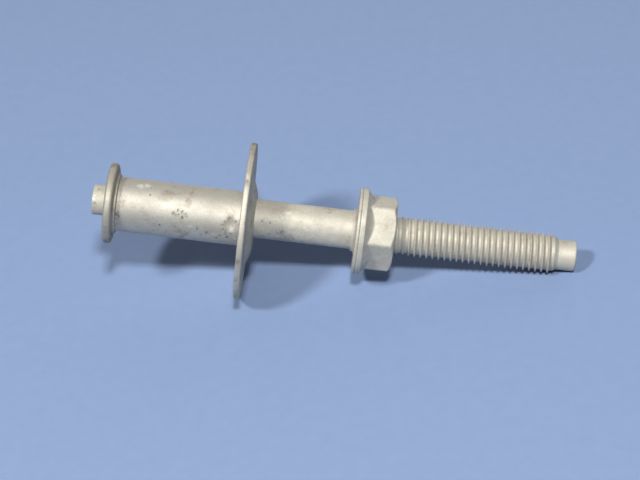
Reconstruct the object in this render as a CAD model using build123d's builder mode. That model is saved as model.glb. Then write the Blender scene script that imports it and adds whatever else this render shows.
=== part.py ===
from build123d import *
from math import pi, sqrt, tan
import os

# Wall anchor: a double-ended hex-collar stud in a flanged spacer sleeve, with a dished wall plate.
#
# The stud's axis is the X axis. +X points into the wall and -X out of it, towards the threaded end that
# carries the load. The origin is where the stud's axis crosses the wall face, which is the plane that the
# plate's outer rim bears on. +Z is up, with the stud held level: the loose sleeve and the loose plate then
# hang on it, a little below its axis. All lengths are in millimetres.

os.makedirs("parts", exist_ok=True)

# Stud, from its outer end at -X to its inner end at +X. The outer thread is M10 x 1.5. The inner one has the
# same pitch and lower crests, below the neck's radius, so that the washer can pass over it on to the neck.
thread_radius = 4.95
inner_thread_radius = 4.75
thread_pitch = 1.5
thread_depth = 0.61 * thread_pitch
thread_crest_flat = thread_pitch / 8
thread_root_flat = thread_pitch / 4
ridge_gap = 0.4
dog_radius = 3.75
dog_chamfer = 0.35
outer_tip = -82.6
outer_taper_start = -78.0
outer_thread_start = -76.1
outer_thread_end = -41.0
shank_radius = 4.3
hex_outer_face = -37.7
flange_outer_face = -30.3
flange_face = -28.9
hex_across_flats = 16.4
hex_turn = 20.0
hex_chamfer_angle = 30.0
hex_chamfer_inset = 0.1
hex_cone_overlap = 0.05
flange_radius = 10.65
flange_rim_radius = 10.2
flange_cone = 2.2
flange_cone_bend = 0.7
flange_cone_bend_radius = 9.2
flange_edge = 0.15
neck_radius = 4.78
neck_end = 7.5
inner_thread_gap = 0.6
inner_thread_end = 32.6
inner_tip = 37.2

# Flange washer, which turns on the neck behind the stud's flange. Its hub is the burr of its punched hole.
washer_thickness = 0.8
washer_clearance = 0.08
washer_round = 0.2
washer_hub_length = 1.0
washer_hub_base_radius = 5.9
washer_hub_tip_radius = 5.15

# Dished plate: its rim bears on the wall and its raised centre faces the washer.
plate_radius = 19.5
plate_thickness = 1.5
plate_dish = 1.5
plate_boss_radius = 7.6
plate_slope_radius = 11.6
plate_drop = 1.3
plate_hole_radius = 6.15
plate_round = 0.35

# Spacer sleeve and the flange at its inner end, which hang on the stud together. The sleeve's outer end
# sits in the plate's dish, behind the raised centre that it bears on.
sleeve_radius = 6.75
sleeve_bore_radius = 5.5
sleeve_drop = 0.6
sleeve_start = -1.15
sleeve_length = 32.85
sleeve_round = 0.2
end_flange_radius = 9.9
end_flange_thickness = 2.0
end_flange_round = 0.6
collar_radius = 7.5
collar_length = 0.95

# Planes across the X axis. Their own x direction runs along Y, so that a polygon's turn starts from +Y.
across_x = Plane(origin=(0, 0, 0), x_dir=(0, 1, 0), z_dir=(1, 0, 0))
sleeve_axis = Axis((0, 0, -sleeve_drop), (1, 0, 0))
plate_axis = Axis((0, 0, -plate_drop), (1, 0, 0))


def thread_profile(start, end, crest_radius):
    """Outline points of V ridges from start to end along X, as (x, radius) pairs, four for each ridge."""
    root_radius = crest_radius - thread_depth
    crest_half = thread_crest_flat / 2
    root_half = thread_root_flat / 2
    count = int((end - start) // thread_pitch)
    points = []
    for ridge in range(count):
        centre = start + (ridge + 0.5) * thread_pitch
        points += [
            (centre - thread_pitch / 2 + root_half, root_radius),
            (centre - crest_half, crest_radius),
            (centre + crest_half, crest_radius),
            (centre + thread_pitch / 2 - root_half, root_radius),
        ]
    return points


# The stud, first as a turned blank with ridges in place of the helical thread.
with BuildPart() as stud:
    with BuildSketch(Plane.XZ) as turned:
        with BuildLine():
            outer_ridges = thread_profile(outer_thread_start, outer_thread_end, thread_radius)
            inner_start = neck_end + inner_thread_gap
            inner_ridges = thread_profile(inner_start, inner_thread_end, inner_thread_radius)
            Polyline(
                (outer_tip, 0),
                (outer_tip, dog_radius - dog_chamfer),
                (outer_tip + dog_chamfer, dog_radius),
                (outer_taper_start, dog_radius),
                *outer_ridges,
                (outer_ridges[-1][0] + ridge_gap, shank_radius),
                (hex_outer_face, shank_radius),
                (hex_outer_face, neck_radius),
                (flange_face, neck_radius),
                (neck_end, neck_radius),
                *inner_ridges,
                (inner_ridges[-1][0] + ridge_gap, dog_radius),
                (inner_tip - dog_chamfer, dog_radius),
                (inner_tip, dog_radius - dog_chamfer),
                (inner_tip, 0),
                close=True,
            )
        make_face()
    revolve(axis=Axis.X)

    # The hexagon reaches a little into the flange, and its outer corners are turned off by a cone.
    hex_length = flange_outer_face - hex_outer_face
    hex_inner_radius = hex_across_flats / 2 - hex_cone_overlap
    with BuildPart(mode=Mode.PRIVATE) as hexagon:
        with BuildSketch(across_x.offset(hex_outer_face)):
            RegularPolygon(hex_across_flats / 2, 6, major_radius=False, rotation=hex_turn)
        extrude(amount=hex_length)
        cone_reach = hex_length / tan(hex_chamfer_angle * pi / 180)
        chamfer_start = hex_across_flats / 2 - hex_chamfer_inset
        with BuildSketch(Plane.XZ):
            with BuildLine():
                Polyline(
                    (hex_outer_face, 0),
                    (hex_outer_face, chamfer_start),
                    (hex_outer_face + hex_length, chamfer_start + cone_reach),
                    (hex_outer_face + hex_length, 0),
                    close=True,
                )
            make_face()
        revolve(axis=Axis.X, mode=Mode.INTERSECT)
    add(hexagon.part)

    # The flange is a thin disc with a conical back that runs out on the hexagon's flats.
    with BuildSketch(Plane.XZ):
        with BuildLine():
            Polyline(
                (flange_face, 0),
                (flange_face, flange_radius - flange_edge),
                (flange_face - flange_edge, flange_radius),
                (flange_outer_face + flange_edge, flange_radius),
                (flange_outer_face, flange_rim_radius),
                (flange_outer_face - flange_cone_bend, flange_cone_bend_radius),
                (flange_outer_face - flange_cone, hex_inner_radius),
                (flange_outer_face - flange_cone, 0),
                close=True,
            )
        make_face()
    revolve(axis=Axis.X)
stud.part.label = "stud"
export_step(stud.part, "parts/stud.step")


with BuildPart() as flange_washer:
    with BuildSketch(across_x.offset(flange_face)):
        Circle(flange_radius)
        Circle(neck_radius + washer_clearance, mode=Mode.SUBTRACT)
    extrude(amount=washer_thickness)
    outer_edges = flange_washer.edges().filter_by(GeomType.CIRCLE).group_by(SortBy.RADIUS)[-1]
    fillet(outer_edges, washer_round)
    washer_face = flange_face + washer_thickness
    with BuildSketch(Plane.XZ):
        with BuildLine():
            Polyline(
                (washer_face, neck_radius + washer_clearance),
                (washer_face, washer_hub_base_radius),
                (washer_face + washer_hub_length / 3, (washer_hub_base_radius + washer_hub_tip_radius) / 2),
                (washer_face + washer_hub_length, washer_hub_tip_radius),
                (washer_face + washer_hub_length, neck_radius + washer_clearance),
                close=True,
            )
        make_face()
    revolve(axis=Axis.X)
flange_washer.part.label = "flange_washer"
export_step(flange_washer.part, "parts/flange_washer.step")


# The plate is one sheet: a flat rim, a sloping ring and a flat raised centre, all of one thickness.
with BuildPart() as dished_plate:
    slope = plate_dish / (plate_slope_radius - plate_boss_radius)
    normal_shift = plate_thickness * (sqrt(1 + slope**2) - 1) / slope
    with BuildSketch(Plane.XZ):
        with BuildLine():
            Polyline(
                (-plate_dish, plate_hole_radius - plate_drop),
                (-plate_dish, plate_boss_radius - plate_drop - normal_shift),
                (0, plate_slope_radius - plate_drop - normal_shift),
                (0, plate_radius - plate_drop),
                (-plate_thickness, plate_radius - plate_drop),
                (-plate_thickness, plate_slope_radius - plate_drop),
                (-plate_thickness - plate_dish, plate_boss_radius - plate_drop),
                (-plate_thickness - plate_dish, plate_hole_radius - plate_drop),
                close=True,
            )
        make_face()
    revolve(axis=plate_axis)
    rim_edges = dished_plate.edges().filter_by(GeomType.CIRCLE).group_by(SortBy.RADIUS)[-1]
    fillet(rim_edges, plate_round)
dished_plate.part.label = "dished_plate"
export_step(dished_plate.part, "parts/dished_plate.step")


with BuildPart() as spacer_sleeve:
    sleeve_plane = Plane(origin=(sleeve_start, 0, -sleeve_drop), x_dir=(0, 1, 0), z_dir=(1, 0, 0))
    with BuildSketch(sleeve_plane):
        Circle(sleeve_radius)
        Circle(sleeve_bore_radius, mode=Mode.SUBTRACT)
    extrude(amount=sleeve_length)
    end_edges = spacer_sleeve.edges().filter_by(GeomType.CIRCLE).group_by(Axis.X)[0]
    fillet(end_edges.group_by(SortBy.RADIUS)[-1], sleeve_round)
spacer_sleeve.part.label = "spacer_sleeve"
export_step(spacer_sleeve.part, "parts/spacer_sleeve.step")


# The end flange is a disc butted on the sleeve, with a low collar of weld metal round the joint.
with BuildPart() as end_flange:
    flange_plane = sleeve_plane.offset(sleeve_length)
    with BuildSketch(flange_plane):
        Circle(end_flange_radius)
        Circle(sleeve_bore_radius, mode=Mode.SUBTRACT)
    extrude(amount=end_flange_thickness)
    flange_edges = end_flange.edges().filter_by(GeomType.CIRCLE).group_by(SortBy.RADIUS)[-1]
    fillet(flange_edges, end_flange_round)
    joint_x = sleeve_start + sleeve_length
    with BuildSketch(Plane.XZ):
        with BuildLine():
            Polyline(
                (joint_x - collar_length, sleeve_radius - sleeve_drop),
                (joint_x - collar_length / 3, collar_radius - sleeve_drop),
                (joint_x, collar_radius - sleeve_drop),
                (joint_x, sleeve_radius - sleeve_drop),
                close=True,
            )
        make_face()
    revolve(axis=sleeve_axis)
end_flange.part.label = "end_flange"
export_step(end_flange.part, "parts/end_flange.step")
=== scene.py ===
# %% [markdown]
# # A coated steel wall anchor
# The anchor is a double-ended stud, turned and rolled from one bar, with a spacer sleeve, a dished plate
# and a thin washer on it. All of them carry a thin grey-beige coat. Every part is round, so this lesson
# is about turned surfaces: a profile of stations along the axis, carried round it, with everything that
# isn't round (the helix of a thread, the flats of a hexagon, a dent) written as a change of radius.

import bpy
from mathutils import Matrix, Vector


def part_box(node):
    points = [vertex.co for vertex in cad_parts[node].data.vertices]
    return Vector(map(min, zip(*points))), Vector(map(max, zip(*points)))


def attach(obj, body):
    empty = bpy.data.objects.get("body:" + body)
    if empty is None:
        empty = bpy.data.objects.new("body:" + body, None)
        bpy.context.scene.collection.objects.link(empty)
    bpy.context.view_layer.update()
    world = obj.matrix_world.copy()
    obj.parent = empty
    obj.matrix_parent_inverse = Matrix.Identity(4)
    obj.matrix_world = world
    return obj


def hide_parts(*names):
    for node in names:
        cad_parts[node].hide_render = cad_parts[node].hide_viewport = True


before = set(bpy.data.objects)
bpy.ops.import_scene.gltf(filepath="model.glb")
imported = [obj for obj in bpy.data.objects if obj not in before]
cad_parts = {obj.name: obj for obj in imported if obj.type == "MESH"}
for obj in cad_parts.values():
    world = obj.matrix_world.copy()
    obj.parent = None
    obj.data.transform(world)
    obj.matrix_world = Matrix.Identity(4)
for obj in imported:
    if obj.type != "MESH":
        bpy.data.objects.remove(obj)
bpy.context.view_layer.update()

# %% Tools and units
from math import cos, pi, radians, sin, tan

import bpy
import numpy as np
from mathutils import Matrix, Vector

MM = 0.001
SHARP_ANGLE = radians(50)
COLUMNS = 144
ANGLES = np.arange(COLUMNS) * 2 * pi / COLUMNS
NEXT = np.roll(np.arange(COLUMNS), -1)

# %% [markdown]
# ## Where things are
# The frame already holds the size and the place of every part, so nothing is measured twice. A part's box
# gives its two ends along the axis, its outer radius and the height of its own axis: the loose parts hang
# a little below the stud.

# %% Places from the frame


def extent(node):
    """First x, last x, outer radius and axis height of a round part, in millimetres."""
    low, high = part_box(node)
    radius = (high[1] - low[1]) / 2 / MM
    return low[0] / MM, high[0] / MM, radius, (high[2] + low[2]) / 2 / MM


outer_tip, inner_tip, flange_radius, _ = extent("stud")
flange_face, washer_hub_end, washer_radius, _ = extent("flange_washer")
plate_boss_face, wall_face, plate_radius, plate_height = extent("dished_plate")
sleeve_start, sleeve_end, sleeve_radius, sleeve_height = extent("spacer_sleeve")
collar_start, end_flange_end, end_flange_radius, _ = extent("end_flange")
print(f"stud {inner_tip - outer_tip:.1f} mm long, plate {2 * plate_radius:.1f} mm across")

# %% [markdown]
# ## Rings into a solid
# A turned solid is a stack of rings. Each ring holds the same number of points, so two neighbouring rings
# are joined by one band of quads. The stack ends in a fan to a point on the axis, or it is closed on
# itself when the part has a hole. With the angle counted by the right-hand rule about X, and the outer
# surface walked towards +X, every face points outwards.

# %% A solid made of rings


class Turned:
    """Points and faces of a turned solid about an axis along X, at a height above the stud's."""

    def __init__(self, height=0.0):
        self.height = height
        self.points = []
        self.faces = []
        self.count = 0
        self.first = self.last = None

    def add(self, x, radius, angle):
        """Adds points (x, radius cos angle, radius sin angle + height). Returns their numbers."""
        x, radius, angle = np.broadcast_arrays(x, radius, angle)
        y, z = radius * np.cos(angle), radius * np.sin(angle) + self.height
        self.points.append(np.stack([x, y, z], axis=-1).reshape(-1, 3))
        self.count += x.size
        return np.arange(self.count - x.size, self.count).reshape(x.shape)

    def band(self, first, second):
        """One band of quads from a ring to the next one along the profile."""
        self.faces += np.stack([first, first[NEXT], second[NEXT], second], axis=-1).tolist()

    def rings(self, x, radius):
        """A stack of rings, joined to the ring before it. radius has one number or one row for each x."""
        x = np.asarray(x, float).reshape(len(x), -1)
        radius = np.asarray(radius, float).reshape(len(x), -1)
        for ring in self.add(x, np.broadcast_to(radius, (len(x), COLUMNS)), ANGLES):
            self.follow(ring)

    def follow(self, ring):
        """Joins a ring to the one before it, and keeps the first and the last."""
        if self.last is not None:
            self.band(self.last, ring)
        self.first = ring if self.first is None else self.first
        self.last = ring

    def start_pole(self, x):
        """Closes the first ring by a fan to a point on the axis."""
        tip = np.broadcast_to(self.add(x, 0.0, 0.0), COLUMNS)
        self.faces += np.stack([tip, self.first[NEXT], self.first], axis=-1).tolist()

    def end_pole(self, x):
        """Closes the last ring by a fan to a point on the axis."""
        tip = np.broadcast_to(self.add(x, 0.0, 0.0), COLUMNS)
        self.faces += np.stack([tip, self.last, self.last[NEXT]], axis=-1).tolist()

    def close(self):
        """Joins the last ring to the first one, for a part with a hole."""
        self.band(self.last, self.first)

    def coordinates(self):
        """All points as one array, in millimetres."""
        return np.concatenate(self.points)


# %% [markdown]
# ## Worn edges and painted shade in hollows
# Handling rubs the coat off an edge, and the hollows get painted shade, a brown mixed in where the surface
# folds inwards. Both follow from the shape, so they are measured on the mesh: where the surface slopes
# down from a point to its neighbours, against its own normal, there is an edge, and where it slopes up
# there is a hollow. The two masks are stored on the points, and the materials read them.

# %% The masks


def edge_masks(made):
    """Stores edge and hollow, 0 to 1: the mean slope down, or up, from a point to its neighbours."""
    count = len(made.vertices)
    spot = np.empty(count * 3)
    made.vertices.foreach_get("co", spot)
    spot = spot.reshape(-1, 3)
    normal = np.empty(count * 3)
    made.vertex_normals.foreach_get("vector", normal)
    normal = normal.reshape(-1, 3)
    ends = np.empty(len(made.edges) * 2, int)
    made.edges.foreach_get("vertices", ends)
    one, two = ends.reshape(-1, 2).T
    along = spot[two] - spot[one]
    length = np.linalg.norm(along, axis=1)
    total, degree = np.zeros(count), np.zeros(count)
    for here, sign in ((one, -1.0), (two, 1.0)):
        slope = sign * np.einsum("ij,ij->i", along, normal[here]) / np.maximum(length, 1e-9)
        np.add.at(total, here, slope)
        np.add.at(degree, here, 1.0)
    stand = total / np.maximum(degree, 1.0)
    for name, value in (("edge", stand), ("hollow", -stand)):
        mask = np.clip(value * 3.0 - 0.08, 0.0, 1.0)
        made.attributes.new(name, "FLOAT", "POINT").data.foreach_set("value", mask.astype(np.float32))


def finish_piece(name, turned, node, body):
    """Turns the collected rings into an object that stands for a node of the frame and rides on its body."""
    made = bpy.data.meshes.new(name)
    made.from_pydata((turned.coordinates() * MM).tolist(), [], turned.faces)
    made.polygons.foreach_set("use_smooth", np.ones(len(made.polygons), bool))
    made.update()
    made.set_sharp_from_angle(angle=SHARP_ANGLE)
    edge_masks(made)
    piece = bpy.data.objects.new(name, made)
    bpy.context.scene.collection.objects.link(piece)
    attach(piece, body)
    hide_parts(node)
    corners = np.array([len(p.vertices) for p in made.polygons])
    print(f"{name}: {int((corners - 2).sum())} triangles")
    return piece


# %% [markdown]
# ## The stud's own shape
# One rule gives the stud's radius at any place along it and any angle round it. A bar radius follows the
# axis. Where the thread is rolled, the radius swings about the bar's: rolling pushes metal out of the
# root into the crest, so a thread that runs out fades to the bar from both sides. The hexagon and the
# flange stand over the bar.

# %% Sizes of the stud, in millimetres along the axis
PITCH = 1.5
CREST_RADIUS = 4.93
INNER_CREST_RADIUS = 4.73
ROOT_RADIUS = 4.18
BAR_RADIUS = 4.3
NECK_RADIUS = 4.8
DOG_RADIUS = 3.75
DOG_ROUND = 0.4

STUD_FLANGE_THICKNESS = 1.4
HEAD_LENGTH = 8.8
flange_back = flange_face - STUD_FLANGE_THICKNESS
hex_face = flange_face - HEAD_LENGTH
thread_fade = hex_face - 0.1
thread_faint = hex_face - 0.5
thread_full = hex_face - 5.5
taper_start = outer_tip + 6.5
dog_start = outer_tip + 4.6
neck_end = wall_face + 7.5
inner_thread_end = inner_tip - 5.6

FLAT_RADIUS = 8.2
HEX_TURN = radians(20)
HEX_SHARPNESS = 60
CONE_LENGTH = 2.5


def softer_min(a, b, blend):
    """The smaller of two radii, with the corner between them rounded over about the blend's width."""
    return (a + b - np.sqrt((a - b) ** 2 + blend**2)) / 2


def softer_max(a, b, blend):
    """The larger of two radii, with the corner between them filled over about the blend's width."""
    return (a + b + np.sqrt((a - b) ** 2 + blend**2)) / 2


def hexagon_radius(angle):
    """A hexagon with rounded corners: the flat's distance over a high-power norm of three cosines."""
    flats = HEX_TURN + pi / 6 + np.arange(3) * pi / 3
    reach = np.abs(np.cos(angle[..., None] - flats)) ** HEX_SHARPNESS
    return FLAT_RADIUS / reach.sum(axis=-1) ** (1 / HEX_SHARPNESS)


def thread_radius(phase, crest):
    """Radius over one pitch: a narrow crest, a steep flank, and a root made wide by the coat."""
    distance = np.abs((phase + 0.5) % 1.0 - 0.5)
    ramp = np.clip((distance - 0.03) / 0.30, 0.0, 1.0)
    ramp = 0.8 * np.sin(ramp * pi / 2) + 0.2 * ramp
    return crest + (ROOT_RADIUS - crest) * ramp


def stud_radius(x, angle, phase=None):
    """Radius of the bar with its threads: bar + presence x (thread - bar), under the end's cone."""
    bar = np.interp(
        x,
        [dog_start, taper_start, taper_start + 1, hex_face, flange_face, neck_end, neck_end + 1.5,
         inner_thread_end, inner_thread_end + 1.2],
        [DOG_RADIUS, BAR_RADIUS, BAR_RADIUS, BAR_RADIUS, NECK_RADIUS, NECK_RADIUS, BAR_RADIUS,
         BAR_RADIUS, DOG_RADIUS],
    )
    if phase is None:
        phase = x / PITCH - angle / (2 * pi)
    presence = np.interp(
        x,
        [dog_start - 0.4, dog_start + 0.5, thread_full, thread_faint, thread_fade, neck_end,
         neck_end + 2.5, inner_thread_end - 0.5, inner_thread_end + 0.8],
        [0, 1, 1, 0.35, 0, 0, 1, 1, 0],
    )
    crest = np.where(x < flange_face, CREST_RADIUS, INNER_CREST_RADIUS)
    radius = bar + presence * (thread_radius(phase, crest) - bar)
    outer_cone = DOG_RADIUS + np.maximum(x - dog_start, 0) * 0.72
    inner_cone = DOG_RADIUS + np.maximum(inner_thread_end + 1.0 - x, 0) * 0.9
    return np.minimum(radius, np.minimum(outer_cone, inner_cone))


def head_radius(x, angle):
    """The hexagon under its turned-off face, run into the flange's hollow cone."""
    flats = hexagon_radius(angle)
    face_cone = FLAT_RADIUS - 0.15 + (x - hex_face) * tan(radians(60))
    head = softer_min(flats, face_cone, 0.14)
    t = (x - (flange_back - CONE_LENGTH)) / CONE_LENGTH
    cone = FLAT_RADIUS - 0.2 + 2.2 * np.clip(t, 0, 1) ** 1.5 + 6.0 * np.minimum(t, 0)
    return softer_max(head, cone, 0.10)


# %% [markdown]
# ## A thread that is really a helix
# A grid of flat rings can't follow a crest that climbs one pitch in each turn: the crest would cross the
# grid and look like a staircase. So the thread is a strip that climbs with the crest. Its upper edge is
# its own lower edge one turn later, and at each end a collar of quads comes back to a flat ring, with a
# small fan at the step.

# %% The helical strip
SAMPLES = np.array([0.0, 0.04, 0.11, 0.19, 0.29, 0.42, 0.58, 0.71, 0.81, 0.89, 0.96])
SEAM = 3 * COLUMNS // 8
STRIP_END_GAP = 0.1


def helical_strip(turned, start, end):
    """Adds a right-hand strip between two flat rings, from the last ring, at start, to a new one at end."""
    turns = int((end - start - 0.4) / PITCH) - 1
    steps = turns * COLUMNS
    along = np.arange(steps + COLUMNS + 1)
    lowest = end - STRIP_END_GAP - (turns + 1) * PITCH

    def points(step, share):
        """Points at x = lowest + pitch x (turns so far + share), at the thread's phase share."""
        angle = (step + SEAM) * 2 * pi / COLUMNS
        x = lowest + PITCH * (step / COLUMNS + share)
        return turned.add(x, stud_radius(x, angle, share), angle)

    rim = points(along, 0.0)
    inside = points(along[: steps + 1, None], SAMPLES[None, 1:])
    grid = np.concatenate([rim[: steps + 1, None], inside, rim[COLUMNS:, None]], axis=1)
    quads = np.stack([grid[:-1, :-1], grid[1:, :-1], grid[1:, 1:], grid[:-1, 1:]], axis=-1)
    turned.faces += quads.reshape(-1, 4).tolist()

    ring = np.roll(turned.last, -SEAM)
    quads = np.stack([ring[:-1], ring[1:], rim[1:COLUMNS], rim[: COLUMNS - 1]], axis=-1)
    turned.faces += quads.tolist()
    step_line = [ring[-1], ring[0], *grid[0]]
    turned.faces += [[rim[COLUMNS - 1], a, b] for a, b in zip(step_line[:-1], step_line[1:])]

    turned.last = turned.add(end, stud_radius(end, ANGLES), ANGLES)
    ring = np.roll(turned.last, -SEAM)
    quads = np.stack([rim[steps + 1 : -1], rim[steps + 2 :], ring[NEXT][1:], ring[1:]], axis=-1)
    turned.faces += quads.tolist()
    step_line = [ring[1], ring[0], *grid[-1][::-1]]
    turned.faces += [[rim[steps + 1], a, b] for a, b in zip(step_line[:-1], step_line[1:])]


# %% The stud, ring by ring


def round_end(tip, inward):
    """Stations of an end face and its rounded corner: (x, radius), from the axis to the dog's side."""
    turn = np.linspace(0, pi / 2, 6)
    x = tip + inward * DOG_ROUND * (1 - np.cos(turn))
    radius = DOG_RADIUS - DOG_ROUND + DOG_ROUND * np.sin(turn)
    return np.concatenate([[tip] * 3, x]), np.concatenate([[0.9, 1.9, 2.8], radius])


stud = Turned()
end_x, end_radius = round_end(outer_tip, 1)
stud.rings(end_x, end_radius)
strip_from, strip_to = dog_start - 2.2, hex_face - 0.08
dog_x = np.linspace(outer_tip + DOG_ROUND * 1.4, strip_from, 7)
stud.rings(dog_x, np.full(7, DOG_RADIUS))
helical_strip(stud, strip_from, strip_to)

stud.rings([hex_face - 0.04, hex_face], [BAR_RADIUS + 0.03, BAR_RADIUS + 0.1])
rise = np.linspace(0.15, 0.9, 4)[:, None]
face_rim = head_radius(np.full(COLUMNS, hex_face), ANGLES)
stud.rings(np.full(4, hex_face), BAR_RADIUS + rise * (face_rim - BAR_RADIUS))
stud.rings([hex_face + 0.02], [face_rim - 0.05])
head_x = np.linspace(hex_face + 0.06, flange_back, 76)
stud.rings(head_x, head_radius(head_x[:, None], ANGLES[None, :]))

disc_x = flange_back + np.array([0.02, 0.12, 0.3, 0.7, 1.1, 1.28, 1.38, 1.4])
disc_radius = flange_radius - np.array([0.16, 0.05, 0.0, 0.0, 0.0, 0.02, 0.08, 0.2])
stud.rings(disc_x, disc_radius)
stud.rings([flange_face] * 3, [9.0, 7.0, NECK_RADIUS + 0.1])
neck_x = np.linspace(flange_face + 0.1, neck_end - 1.5, 64)
wave = 0.035 * np.sin(neck_x[:, None] * 1.7 + 2 * np.sin(ANGLES)) * np.sin(neck_x[:, None] * 0.6 + ANGLES)
stud.rings(neck_x, NECK_RADIUS - 0.03 + wave)

inner_from, inner_to = neck_end - 1.0, inner_thread_end + 2.6
stud.rings([inner_from], [NECK_RADIUS - 0.01])
helical_strip(stud, inner_from, inner_to)
stud.rings(np.linspace(inner_to + 0.3, inner_tip - DOG_ROUND * 1.4, 4), np.full(4, DOG_RADIUS))
end_x, end_radius = round_end(inner_tip, -1)
stud.rings(end_x[::-1], end_radius[::-1])
stud.start_pole(outer_tip)
stud.end_pole(inner_tip)
stud_piece = finish_piece("stud_turned", stud, "stud", "stud")

# %% [markdown]
# ## The loose parts
# The washer, the plate, the sleeve and its end flange each have a hole, so their profiles are closed
# loops: out along the outer surface towards +X, in across the end, back through the bore, and out across
# the other end. A loop is given by its corners, and every straight stretch is cut into short steps so
# that small dents have points to bend.

# %% Closed profiles


def loop(corners, step):
    """Stations along a closed outline given by its corners, at most one step apart."""
    x, radius = [], []
    for (x0, r0), (x1, r1) in zip(corners, corners[1:] + corners[:1]):
        count = max(1, int(np.hypot(x1 - x0, r1 - r0) / step + 0.999))
        share = np.arange(count) / count
        x += (x0 + (x1 - x0) * share).tolist()
        radius += (r0 + (r1 - r0) * share).tolist()
    return np.array(x)[:, None], np.array(radius)[:, None]


def ring_part(name, corners, step, height, bend, node, body):
    """A closed turned part. bend(x, radius, angle) gives the change of (x, radius) at each point."""
    x, radius = loop(corners, step)
    shift_x, shift_radius = bend(x, radius, ANGLES[None, :])
    turned = Turned(height)
    turned.rings(x + shift_x, radius + shift_radius)
    turned.close()
    return finish_piece(name, turned, node, body)


def rounded(x0, x1, r_in, r_out, corner):
    """Corners of a washer-like outline with eased outer edges, from its low-x face round to its bore."""
    return [
        (x0, r_out - corner),
        (x0 + corner * 0.3, r_out - corner * 0.3),
        (x0 + corner, r_out),
        (x1 - corner, r_out),
        (x1 - corner * 0.3, r_out - corner * 0.3),
        (x1, r_out - corner),
        (x1, r_in + 0.1),
        (x1 - 0.1, r_in),
        (x0 + 0.1, r_in),
        (x0, r_in + 0.1),
    ]


# %% The washer, with the burr of its punched hole as a low hub
WASHER_BORE = NECK_RADIUS + 0.08
WASHER_THICKNESS = 0.8
washer_face = flange_face + WASHER_THICKNESS
washer_corners = [
    (flange_face + 0.03, washer_radius - 0.2),
    (flange_face + 0.1, washer_radius - 0.06),
    (flange_face + 0.25, washer_radius),
    (washer_face - 0.25, washer_radius),
    (washer_face - 0.07, washer_radius - 0.07),
    (washer_face, washer_radius - 0.25),
    (washer_face, 6.2),
    (washer_face + 0.12, 5.75),
    (washer_face + 0.4, 5.35),
    (washer_hub_end - 0.1, 5.12),
    (washer_hub_end, 5.04),
    (washer_hub_end, WASHER_BORE),
    (flange_face + 0.03, WASHER_BORE),
]


def washer_bend(x, radius, angle):
    """The rim is a little out of round and wavy, as a punched and painted edge is."""
    rim = np.clip((radius - 8.0) / 2.6, 0, 1)
    return 0 * angle, -0.05 * rim * (1 + np.sin(3 * angle + 1)) / 2


washer_piece = ring_part(
    "washer_disc", washer_corners, 0.4, 0.0, washer_bend, "flange_washer", "washer"
)

# %% The dished plate
PLATE_HOLE = 6.15
PLATE_SHEET = 1.5
BOSS_RADIUS = 7.6
SLOPE_RADIUS = 11.6
rim_face = wall_face - PLATE_SHEET
plate_corners = [
    (plate_boss_face, PLATE_HOLE + 0.15),
    (plate_boss_face, BOSS_RADIUS - 0.5),
    (plate_boss_face + 0.08, BOSS_RADIUS + 0.1),
    (rim_face - 0.1, SLOPE_RADIUS - 0.3),
    (rim_face, SLOPE_RADIUS + 0.5),
    (rim_face, plate_radius - 0.35),
    (rim_face + 0.09, plate_radius - 0.1),
    (rim_face + 0.3, plate_radius),
    (wall_face - 0.3, plate_radius),
    (wall_face - 0.09, plate_radius - 0.1),
    (wall_face, plate_radius - 0.35),
    (wall_face, SLOPE_RADIUS),
    (wall_face - 0.1, SLOPE_RADIUS - 0.7),
    (plate_boss_face + PLATE_SHEET + 0.1, BOSS_RADIUS - 0.4),
    (plate_boss_face + PLATE_SHEET, BOSS_RADIUS - 1.0),
    (plate_boss_face + PLATE_SHEET, PLATE_HOLE + 0.15),
    (plate_boss_face + PLATE_SHEET - 0.15, PLATE_HOLE),
    (plate_boss_face + 0.15, PLATE_HOLE),
]
NICK_ANGLE = radians(69)


def plate_bend(x, radius, angle):
    """A rim that waves by a few hundredths, with one small nick: a narrow bell in angle at the rim."""
    rim = np.clip((radius - 12.0) / 7.5, 0, 1)
    wave = -0.04 * rim * (1 + np.sin(2 * angle + 0.6) * np.sin(5 * angle)) / 2
    nick = -0.32 * rim**8 * np.exp(-(((angle - NICK_ANGLE) / 0.035) ** 2))
    return 0 * angle, wave + nick


plate_piece = ring_part(
    "dished_plate_sheet", plate_corners, 0.45, plate_height, plate_bend,
    "dished_plate", "plate",
)

# %% The spacer sleeve, with the shallow dent beside the plate
SLEEVE_BORE = 5.5
sleeve_corners = rounded(sleeve_start, sleeve_end, SLEEVE_BORE, sleeve_radius, 0.2)
# Each dent is its place along, degrees round, length, width and depth.
DENTS = [(2.5, 24, 1.15, 1.9, 0.42), (15.4, 26, 1.6, 1.4, 0.06), (6.5, 3, 2.2, 1.5, 0.05)]


def bell(x, angle, place, turn, long, wide, radius):
    """1 at a place on a round surface, and a bell around it: long mm along it, wide mm round it."""
    round_way = radius * ((angle - radians(turn) + pi) % (2 * pi) - pi)
    return np.exp(-(((x - place) / long) ** 2) - ((round_way / wide) ** 2))


def sleeve_bend(x, radius, angle):
    """Each dent is a bell to the power 1.5, only on the outer surface."""
    outside = np.clip((radius - 6.2) / 0.4, 0, 1)
    shift = 0 * angle * x
    for place, turn, long, wide, depth in DENTS:
        dent = bell(x, angle, place, turn, long, wide, sleeve_radius)
        shift = shift - depth * dent**1.5
    return 0 * angle, outside * shift


sleeve_piece = ring_part(
    "sleeve_tube", sleeve_corners, 0.35, sleeve_height, sleeve_bend,
    "spacer_sleeve", "sleeve",
)

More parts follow.
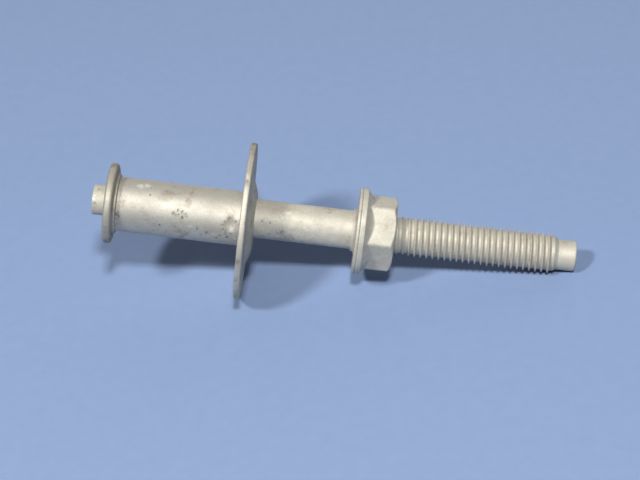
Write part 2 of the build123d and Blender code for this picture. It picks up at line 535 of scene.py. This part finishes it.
# %% The end flange and the bead of weld metal that holds it on the sleeve
COLLAR_RADIUS = 7.5
END_FLANGE_THICKNESS = 2.0
joint_x = end_flange_end - END_FLANGE_THICKNESS
disc = rounded(joint_x, end_flange_end, SLEEVE_BORE, end_flange_radius, 0.62)
flange_corners = [
    (collar_start, sleeve_radius),
    (collar_start + 0.08, sleeve_radius + 0.4),
    (collar_start + 0.3, COLLAR_RADIUS),
    (joint_x - 0.25, COLLAR_RADIUS),
    (joint_x, COLLAR_RADIUS + 0.25),
    *disc[:9],
    (joint_x, SLEEVE_BORE),
    (joint_x, sleeve_radius),
]


def flange_bend(x, radius, angle):
    """The bead's surface wanders a little in radius, and the disc's rim is eased unevenly."""
    on_bead = (radius > sleeve_radius + 0.2) * (x < joint_x)
    bead = np.clip((COLLAR_RADIUS + 0.3 - radius) / 0.5, 0, 1) * on_bead
    lumps = np.sin(7 * angle + 0.5) * np.sin(4 * angle) + 0.6 * np.sin(13 * angle + 2)
    rim = np.clip((radius - 8.5) / 1.4, 0, 1)
    return 0 * angle, 0.07 * bead * (lumps - 1.2) - 0.04 * rim * (1 + np.sin(4 * angle + 2)) / 2


flange_piece = ring_part(
    "end_flange_disc", flange_corners, 0.4, sleeve_height, flange_bend,
    "end_flange", "sleeve",
)

# %% [markdown]
# ## The coat, as shared node groups
# The same coat lies on every part, so its effects are node groups: mottling from clouds of noise, fine
# grain, scattered specks, and a ragged local mark for a stain, a chip or a painted highlight. Each group
# puts out only colours, masks and values; the shader itself stays in each material. Everything reads
# Object coordinates, in metres, so the pattern sits still on a part that moves.

# %% Node helpers


def new_group(name, inputs, outputs):
    """An empty shader group with named sockets, and its input and output nodes."""
    group = bpy.data.node_groups.new(name, "ShaderNodeTree")
    for label, kind, value in inputs:
        socket = group.interface.new_socket(label, in_out="INPUT", socket_type=kind)
        if value is not None:
            socket.default_value = value
    for label, kind in outputs:
        group.interface.new_socket(label, in_out="OUTPUT", socket_type=kind)
    return group, group.nodes.new("NodeGroupInput"), group.nodes.new("NodeGroupOutput")


def feed(tree, value, socket):
    """Links an output socket to an input, or writes a plain value on it."""
    if isinstance(value, bpy.types.NodeSocket):
        tree.links.new(value, socket)
    else:
        socket.default_value = value


def math_node(tree, operation, *values, clamp=False):
    """One Math node, fed with sockets or numbers. Returns its output."""
    node = tree.nodes.new("ShaderNodeMath")
    node.operation, node.use_clamp = operation, clamp
    for value, socket in zip(values, node.inputs):
        feed(tree, value, socket)
    return node.outputs[0]


def ramp(tree, value, low, high):
    """A smooth step of a value, 0 below low and 1 above high."""
    node = tree.nodes.new("ShaderNodeMapRange")
    node.interpolation_type = "SMOOTHSTEP"
    feed(tree, value, node.inputs["Value"])
    feed(tree, low, node.inputs["From Min"])
    feed(tree, high, node.inputs["From Max"])
    return node.outputs[0]


def mix_colour(tree, share, first, second):
    """One colour mixed into another by a share."""
    node = tree.nodes.new("ShaderNodeMix")
    node.data_type = "RGBA"
    feed(tree, share, node.inputs[0])
    feed(tree, first, node.inputs[6])
    feed(tree, second, node.inputs[7])
    return node.outputs[2]


def noise(tree, place, scale, detail=3.0, rough=0.55, stretch=None):
    """Cloud noise at a scale in repeats per metre, with an optional stretch of the place first."""
    if stretch is not None:
        mapping = tree.nodes.new("ShaderNodeMapping")
        mapping.inputs["Scale"].default_value = stretch
        tree.links.new(place, mapping.inputs["Vector"])
        place = mapping.outputs["Vector"]
    node = tree.nodes.new("ShaderNodeTexNoise")
    tree.links.new(place, node.inputs["Vector"])
    feed(tree, scale, node.inputs["Scale"])
    node.inputs["Detail"].default_value = detail
    node.inputs["Roughness"].default_value = rough
    return node.outputs[0]


def attribute(tree, name):
    """A number stored on the mesh's points."""
    node = tree.nodes.new("ShaderNodeAttribute")
    node.attribute_name = name
    return node.outputs["Fac"]


# %% Mottling: broad clouds, streaks along the part and fine grain in one group
# Scales of the noises, in repeats per metre.
DRIP_SCALE = 420.0
GRAIN_SCALE = 2600.0
SPECK_SCALE = 1500.0
PIT_SCALE = 900.0
MARK_SCALE = 1300.0
STAIN_SCALE = 260.0


def make_mottle():
    """Tone = 0.6 clouds + 0.4 drips. Grain is a finer noise. Specks are peaks and pits are valleys."""
    group, given, result = new_group(
        "coat_mottle",
        [("Place", "NodeSocketVector", None), ("Cloud Scale", "NodeSocketFloat", 180.0),
         ("Speck Amount", "NodeSocketFloat", 0.5)],
        [("Tone", "NodeSocketFloat"), ("Grain", "NodeSocketFloat"), ("Specks", "NodeSocketFloat"),
         ("Pits", "NodeSocketFloat")],
    )
    place = given.outputs["Place"]
    clouds = noise(group, place, given.outputs["Cloud Scale"], 4.0)
    drips = noise(group, place, DRIP_SCALE, 3.0, 0.6, stretch=(0.45, 1.0, 1.0))
    grain = noise(group, place, GRAIN_SCALE, 3.0, 0.65)
    tone = math_node(group, "MULTIPLY_ADD", clouds, 0.6, math_node(group, "MULTIPLY", drips, 0.4))
    fine = noise(group, place, SPECK_SCALE, 2.0, 0.7)
    threshold = math_node(group, "MULTIPLY_ADD", given.outputs["Speck Amount"], -0.16, 0.78)
    specks = ramp(group, fine, threshold, math_node(group, "ADD", threshold, 0.05))
    coarse = noise(group, place, PIT_SCALE, 2.0, 0.7)
    pit_edge = math_node(group, "SUBTRACT", 1.0, threshold)
    pits = ramp(group, coarse, pit_edge, math_node(group, "SUBTRACT", 0.94, threshold))
    for name, value in (("Tone", tone), ("Grain", grain), ("Specks", specks), ("Pits", pits)):
        group.links.new(value, result.inputs[name])
    return group


# %% A local mark: a ragged patch at a place


def make_mark():
    """1 near the centre, 0 past the size. Noise moves the place first, so that no mark is round."""
    group, given, result = new_group(
        "local_mark",
        [("Place", "NodeSocketVector", None), ("Centre", "NodeSocketVector", (0, 0, 0)),
         ("Size", "NodeSocketFloat", 0.002), ("Ragged", "NodeSocketFloat", 0.5)],
        [("Mask", "NodeSocketFloat")],
    )
    cloud = group.nodes.new("ShaderNodeTexNoise")
    group.links.new(given.outputs["Place"], cloud.inputs["Vector"])
    cloud.inputs["Scale"].default_value = MARK_SCALE
    cloud.inputs["Detail"].default_value = 3.0
    cloud.inputs["Roughness"].default_value = 0.7
    about_zero = group.nodes.new("ShaderNodeVectorMath")
    about_zero.operation = "SUBTRACT"
    group.links.new(cloud.outputs["Color"], about_zero.inputs[0])
    about_zero.inputs[1].default_value = (0.5, 0.5, 0.5)
    reach = math_node(group, "MULTIPLY", given.outputs["Ragged"], given.outputs["Size"])
    moved = group.nodes.new("ShaderNodeVectorMath")
    moved.operation = "SCALE"
    group.links.new(about_zero.outputs[0], moved.inputs[0])
    group.links.new(math_node(group, "MULTIPLY", reach, 5.0), moved.inputs["Scale"])
    spot = group.nodes.new("ShaderNodeVectorMath")
    spot.operation = "ADD"
    group.links.new(given.outputs["Place"], spot.inputs[0])
    group.links.new(moved.outputs[0], spot.inputs[1])
    away = group.nodes.new("ShaderNodeVectorMath")
    away.operation = "DISTANCE"
    group.links.new(spot.outputs[0], away.inputs[0])
    group.links.new(given.outputs["Centre"], away.inputs[1])
    share = math_node(group, "DIVIDE", away.outputs["Value"], given.outputs["Size"])
    mask = math_node(group, "SUBTRACT", 1.0, ramp(group, share, 0.35, 1.25))
    group.links.new(mask, result.inputs["Mask"])
    return group


MOTTLE = make_mottle()
MARK = make_mark()
print("node groups:", MOTTLE.name, MARK.name)

# %% [markdown]
# ## One finish, tuned for each part
# The coat is thin and rather matt, with a broad highlight, and it looks more like bare metal on the loose
# parts than on the stud. Each part takes the same recipe with its own colours, amount of specks, and
# local marks, each one given as a place along the part and an angle round it, which is how one would
# describe it with the part in hand.

# %% Colours of the coat, as linear red, green and blue
CREAM = (0.55, 0.525, 0.445, 1)
GREIGE = (0.45, 0.425, 0.355, 1)
SILVER = (0.56, 0.54, 0.475, 1)
ASH = (0.50, 0.48, 0.42, 1)
DULL = (0.37, 0.35, 0.29, 1)
PALE = (0.76, 0.75, 0.69, 1)
BROWN = (0.24, 0.18, 0.135, 1)
SLATE = (0.085, 0.092, 0.09, 1)
TAN = (0.34, 0.29, 0.235, 1)
DARK = (0.05, 0.05, 0.045, 1)


def surface_point(x, turn, radius, height=0.0):
    """A point on a round surface, in metres, from millimetres along and degrees round from +Y towards +Z."""
    angle = radians(turn)
    return x * MM, radius * cos(angle) * MM, (radius * sin(angle) + height) * MM


def coat(name, light, dark, specks, marks, stain, metallic, rough, wear=0.6, relief=0.3):
    """The coat's material. marks are (centre, size, colour, strength, ragged); stain is (colour, share)."""
    material = bpy.data.materials.new(name)
    material.use_nodes = True
    tree = material.node_tree
    shader = tree.nodes["Principled BSDF"]
    place = tree.nodes.new("ShaderNodeTexCoord").outputs["Object"]
    mottle = tree.nodes.new("ShaderNodeGroup")
    mottle.node_tree = MOTTLE
    mottle.inputs["Speck Amount"].default_value = specks
    tree.links.new(place, mottle.inputs["Place"])
    tone = mottle.outputs["Tone"]

    colour = mix_colour(tree, ramp(tree, tone, 0.33, 0.66), dark, light)
    stain_colour, share = stain
    cloud = noise(tree, place, STAIN_SCALE, 4.0, 0.65)
    patches = ramp(tree, cloud, 0.62 - 0.3 * share, 0.80 - 0.3 * share)
    colour = mix_colour(tree, math_node(tree, "MULTIPLY", patches, 0.75), colour, stain_colour)
    grain = mottle.outputs["Grain"]
    colour = mix_colour(tree, 0.10, colour, mix_colour(tree, ramp(tree, grain, 0.3, 0.7), DARK, PALE))
    colour = mix_colour(tree, math_node(tree, "MULTIPLY", mottle.outputs["Specks"], 0.55), colour, PALE)
    colour = mix_colour(tree, math_node(tree, "MULTIPLY", mottle.outputs["Pits"], 0.5), colour, SLATE)
    # Painted shade: hollows and inner corners, thread roots too, are mixed towards brown.
    hollow = math_node(tree, "MULTIPLY", attribute(tree, "hollow"), 0.75, clamp=True)
    colour = mix_colour(tree, hollow, colour, BROWN)
    worn = math_node(tree, "MULTIPLY", attribute(tree, "edge"), wear, clamp=True)
    worn = math_node(tree, "MULTIPLY", worn, ramp(tree, grain, 0.25, 0.6))
    colour = mix_colour(tree, worn, colour, PALE)
    sunk = mottle.outputs["Pits"]
    for centre, size, mark_colour, strength, ragged in marks:
        mark = tree.nodes.new("ShaderNodeGroup")
        mark.node_tree = MARK
        tree.links.new(place, mark.inputs["Place"])
        mark.inputs["Centre"].default_value = centre
        mark.inputs["Size"].default_value = size * MM
        mark.inputs["Ragged"].default_value = ragged
        mask = math_node(tree, "MULTIPLY", mark.outputs["Mask"], strength)
        colour = mix_colour(tree, mask, colour, mark_colour)
        sunk = math_node(tree, "MAXIMUM", sunk, math_node(tree, "MULTIPLY", mask, 0.6))
    tree.links.new(colour, shader.inputs["Base Color"])

    shader.inputs["Metallic"].default_value = metallic
    gloss = math_node(tree, "MULTIPLY_ADD", tone, -0.18, rough + 0.09)
    gloss = math_node(tree, "ADD", gloss, math_node(tree, "MULTIPLY", sunk, 0.25))
    tree.links.new(gloss, shader.inputs["Roughness"])
    height = math_node(tree, "MULTIPLY_ADD", tone, 0.8, math_node(tree, "MULTIPLY", grain, 0.12))
    height = math_node(tree, "SUBTRACT", height, math_node(tree, "MULTIPLY", sunk, 0.25))
    bump = tree.nodes.new("ShaderNodeBump")
    bump.inputs["Strength"].default_value = relief
    bump.inputs["Distance"].default_value = 0.00025
    tree.links.new(height, bump.inputs["Height"])
    tree.links.new(bump.outputs["Normal"], shader.inputs["Normal"])
    return material


# %% The marks of each part, in millimetres along and degrees round
def on_sleeve(x, turn):
    """A point on the sleeve's outer surface."""
    return surface_point(x, turn, sleeve_radius, sleeve_height)


def on_neck(x, turn):
    """A point on the stud's neck."""
    return surface_point(x, turn, NECK_RADIUS)


def on_plate_rim(turn):
    """A point in the middle of the plate's rim."""
    return surface_point(rim_face + PLATE_SHEET / 2, turn, plate_radius, plate_height)


def on_end_rim(turn):
    """A point in the middle of the end flange's rim."""
    return surface_point(end_flange_end - END_FLANGE_THICKNESS / 2, turn, end_flange_radius, sleeve_height)


GOLDEN_STEP = 0.618034


def speckle(count, surface, x_range, turn_range, strength):
    """Small chips in a patch, three dark to two pale, spread along it by golden-ratio steps."""
    step = np.arange(count) * GOLDEN_STEP % 1.0
    along = x_range[0] + (x_range[1] - x_range[0]) * step
    turns = turn_range[0] + (turn_range[1] - turn_range[0]) * (step * 7.3 % 1.0)
    sizes = 0.28 + 0.30 * (step * 3.7 % 1.0)
    return [
        (surface(x, turn), size, SLATE if i % 5 < 3 else PALE, strength, 1.2)
        for i, (x, turn, size) in enumerate(zip(along, turns, sizes))
    ]


sleeve_marks = [
    (on_sleeve(22.9, 66), 0.30, DARK, 0.6, 0.2),
    (on_sleeve(25.6, 88), 0.9, PALE, 0.8, 0.8),
    (on_sleeve(23.8, 90), 0.8, PALE, 0.8, 0.8),
    (on_sleeve(15.7, 39), 0.45, DARK, 0.55, 1.0),
    (on_sleeve(14.7, 38), 0.40, DARK, 0.55, 1.0),
    (on_sleeve(16.7, 33), 0.45, SLATE, 0.5, 1.0),
    (on_sleeve(15.9, 29), 0.60, SLATE, 0.45, 1.2),
    (on_sleeve(14.5, 26), 0.38, DARK, 0.6, 0.8),
    (on_sleeve(13.7, 32), 0.55, SLATE, 0.35, 1.2),
    (on_sleeve(14.8, 19), 0.60, SLATE, 0.45, 1.4),
    (on_sleeve(30.3, 15), 0.65, SLATE, 0.75, 0.8),
    (on_sleeve(19.8, 4), 0.28, DARK, 0.7, 0.3),
    # Dark patches round the dent beside the plate, and a pale patch below it: painted highlight on the dent's
    # lower edge.
    (on_sleeve(3.9, 28), 0.45, SLATE, 0.55, 1.0),
    (on_sleeve(4.1, 20), 0.40, SLATE, 0.5, 1.0),
    (on_sleeve(2.9, 37), 0.60, SLATE, 0.4, 1.2),
    (on_sleeve(1.5, 31), 0.45, SLATE, 0.5, 1.0),
    (on_sleeve(2.1, 12), 0.65, PALE, 0.85, 0.6),
    *speckle(16, on_sleeve, (1.0, 13.0), (-16, 12), 0.55),
]
plate_marks = [
    (on_plate_rim(122), 3.6, BROWN, 0.65, 0.5),
    (on_plate_rim(104), 2.2, BROWN, 0.45, 0.7),
    (on_plate_rim(69), 0.5, DARK, 0.6, 0.6),
]
end_flange_marks = [
    (on_end_rim(116), 3.0, BROWN, 0.5, 0.6),
    (on_end_rim(-40), 3.2, BROWN, 0.35, 0.6),
]
neck_marks = [
    (on_neck(-10.1, 7), 0.75, SLATE, 0.6, 1.2),
    (on_neck(-8.9, 2), 0.60, SLATE, 0.45, 1.2),
    (on_neck(-4.9, 31), 0.32, SLATE, 0.6, 0.8),
    (on_neck(-6.9, 30), 0.30, SLATE, 0.6, 0.8),
    (on_neck(-7.5, 62), 0.9, TAN, 0.45, 1.6),
    (on_neck(-11.0, 66), 0.8, PALE, 0.6, 1.6),
    # Two broad, faint pale patches at about 40 degrees round, where the highlight falls: painted highlight
    # streaks.
    (on_neck(-9.0, 44), 1.0, PALE, 0.5, 1.6),
    (on_neck(-17.0, 40), 1.4, PALE, 0.4, 1.8),
    *speckle(11, on_neck, (-15.5, -1.5), (-24, 4), 0.5),
    (surface_point(-31.9, 108, 9.0), 0.7, DARK, 0.6, 1.0),
    (surface_point(35.8, 78, DOG_RADIUS), 0.6, SLATE, 0.6, 1.4),
    (surface_point(36.4, 22, DOG_RADIUS), 0.6, SLATE, 0.6, 1.4),
    (surface_point(36.8, 45, DOG_RADIUS), 0.6, PALE, 0.8, 1.2),
]

# %% The five finishes
stud_coat = coat(
    "stud_coat", CREAM, GREIGE, 0.4, neck_marks, (TAN, 0.22),
    metallic=0.42, rough=0.66, wear=0.35, relief=0.5,
)
washer_coat = coat(
    "washer_coat", CREAM, GREIGE, 0.3, [], (TAN, 0.3), metallic=0.45, rough=0.64, wear=0.45
)
plate_coat = coat(
    "plate_coat", CREAM, GREIGE, 0.4, plate_marks, (BROWN, 0.3), metallic=0.7, rough=0.62, wear=0.3
)
sleeve_coat = coat(
    "sleeve_coat", SILVER, ASH, 0.45, sleeve_marks, (TAN, 0.34), metallic=0.9, rough=0.68
)
end_flange_coat = coat(
    "end_flange_coat", GREIGE, DULL, 0.35, end_flange_marks, (BROWN, 0.3),
    metallic=0.75, rough=0.64, wear=0.5,
)
finishes = [
    (stud_piece, stud_coat),
    (washer_piece, washer_coat),
    (plate_piece, plate_coat),
    (sleeve_piece, sleeve_coat),
    (flange_piece, end_flange_coat),
]
for piece, material in finishes:
    piece.data.materials.append(material)
print("finishes:", [material.name for _, material in finishes])

# %% [markdown]
# ## Floor, light and camera
# The anchor lies on its plate's rim and on the crest of its outer thread, so against the level stud the
# floor slopes: it is the plane under those two points. Two fairly small lights stand high on the camera's
# side, a broad one stands low behind, and a weak sky fills the shadows. Where the camera sees the sky
# itself it is brighter, so that the backdrop is pale and the shadows stay deep.

# %% The floor under the two points of rest
CREST_CONTACT = 7.2
rim_low = Vector((rim_face, 0, plate_height - plate_radius)) * MM
crest_low = Vector((outer_tip + CREST_CONTACT, 0, -CREST_RADIUS)) * MM
run = rim_low - crest_low
floor_tilt = Matrix.Rotation(-np.arctan2(run.z, run.x), 4, "Y")
FLOOR_HALF = 0.45
floor_mesh = bpy.data.meshes.new("floor")
corner = [(-1, -1, 0), (1, -1, 0), (1, 1, 0), (-1, 1, 0)]
floor_mesh.from_pydata([Vector(c) * FLOOR_HALF for c in corner], [], [(0, 1, 2, 3)])
floor = bpy.data.objects.new("floor", floor_mesh)
bpy.context.scene.collection.objects.link(floor)
floor.matrix_world = Matrix.Translation(rim_low) @ floor_tilt
paper = bpy.data.materials.new("pale_paper")
paper.use_nodes = True
paper_tree = paper.node_tree
paper_place = paper_tree.nodes.new("ShaderNodeTexCoord").outputs["Object"]
fibre = noise(paper_tree, paper_place, 300.0, 4.0)
paper_colour = mix_colour(paper_tree, fibre, (0.175, 0.248, 0.415, 1), (0.20, 0.275, 0.445, 1))
paper_tree.links.new(paper_colour, paper_tree.nodes["Principled BSDF"].inputs["Base Color"])
paper_tree.nodes["Principled BSDF"].inputs["Roughness"].default_value = 0.85
floor_mesh.materials.append(paper)
print("floor slope in degrees:", round(float(np.degrees(np.arctan2(run.z, run.x))), 2))

# %% The lights
KEY_FROM = Vector((0.85, 0.68, 1.0)).normalized()
SECOND_FROM = Vector((0.03, 0.64, 1.0)).normalized()
BACK_FROM = Vector((0.0, -1.0, 0.55)).normalized()
LIGHT_DISTANCE = 1.2
middle = Vector(((outer_tip + inner_tip) / 2, 0, 0)) * MM


def soft_light(name, towards, size, power, colour):
    """A square area light that looks at the middle of the anchor."""
    lamp = bpy.data.lights.new(name, "AREA")
    lamp.size, lamp.energy, lamp.color = size, power, colour
    light = bpy.data.objects.new(name, lamp)
    light.location = middle + towards * LIGHT_DISTANCE
    light.rotation_euler = towards.to_track_quat("Z", "Y").to_euler()
    bpy.context.scene.collection.objects.link(light)


soft_light("key", KEY_FROM, 0.16, 10.2, (1.0, 0.98, 0.95))
soft_light("second", SECOND_FROM, 0.12, 13.2, (1.0, 0.985, 0.96))
soft_light("back", BACK_FROM, 1.4, 4.6, (1.0, 0.98, 0.96))
world = bpy.data.worlds.new("studio")
world.use_nodes = True
sky = world.node_tree
sky.nodes["Background"].inputs["Color"].default_value = (0.80, 0.86, 1.0, 1)
seen_directly = sky.nodes.new("ShaderNodeLightPath").outputs["Is Camera Ray"]
SKY_LIGHT, SKY_SEEN = 0.09, 0.60
sky_strength = math_node(sky, "MULTIPLY_ADD", seen_directly, SKY_SEEN - SKY_LIGHT, SKY_LIGHT)
sky.links.new(sky_strength, sky.nodes["Background"].inputs["Strength"])
bpy.context.scene.world = world
bpy.context.scene.view_settings.view_transform = "Standard"

# %% The camera
# A long lens looks down on the stud from the side, square to its axis, and is rolled so that the thread's end
# lies a little lower than the sleeve's.
CAMERA_ELEVATION = radians(39)
CAMERA_ROLL = radians(6.8)
CAMERA_DISTANCE = 0.543
LENS, SENSOR_WIDTH = 123.7, 36
AIM_ALONG, AIM_UP = -19.6, -3.44

towards = Vector((0, cos(CAMERA_ELEVATION), sin(CAMERA_ELEVATION)))
upright = Vector((0, -sin(CAMERA_ELEVATION), cos(CAMERA_ELEVATION)))
along = Vector((-1, 0, 0))
right = cos(CAMERA_ROLL) * along + sin(CAMERA_ROLL) * upright
up = -sin(CAMERA_ROLL) * along + cos(CAMERA_ROLL) * upright
aim = (Vector((AIM_ALONG, 0, 0)) + AIM_UP * upright) * MM
camera_data = bpy.data.cameras.new("camera")
camera_data.lens, camera_data.sensor_width = LENS, SENSOR_WIDTH
camera_data.clip_start, camera_data.clip_end = 0.01, 10
camera = bpy.data.objects.new("camera", camera_data)
spot = aim + towards * CAMERA_DISTANCE
camera.matrix_world = Matrix.Translation(spot) @ Matrix((right, up, towards)).transposed().to_4x4()
bpy.context.scene.collection.objects.link(camera)
bpy.context.scene.camera = camera
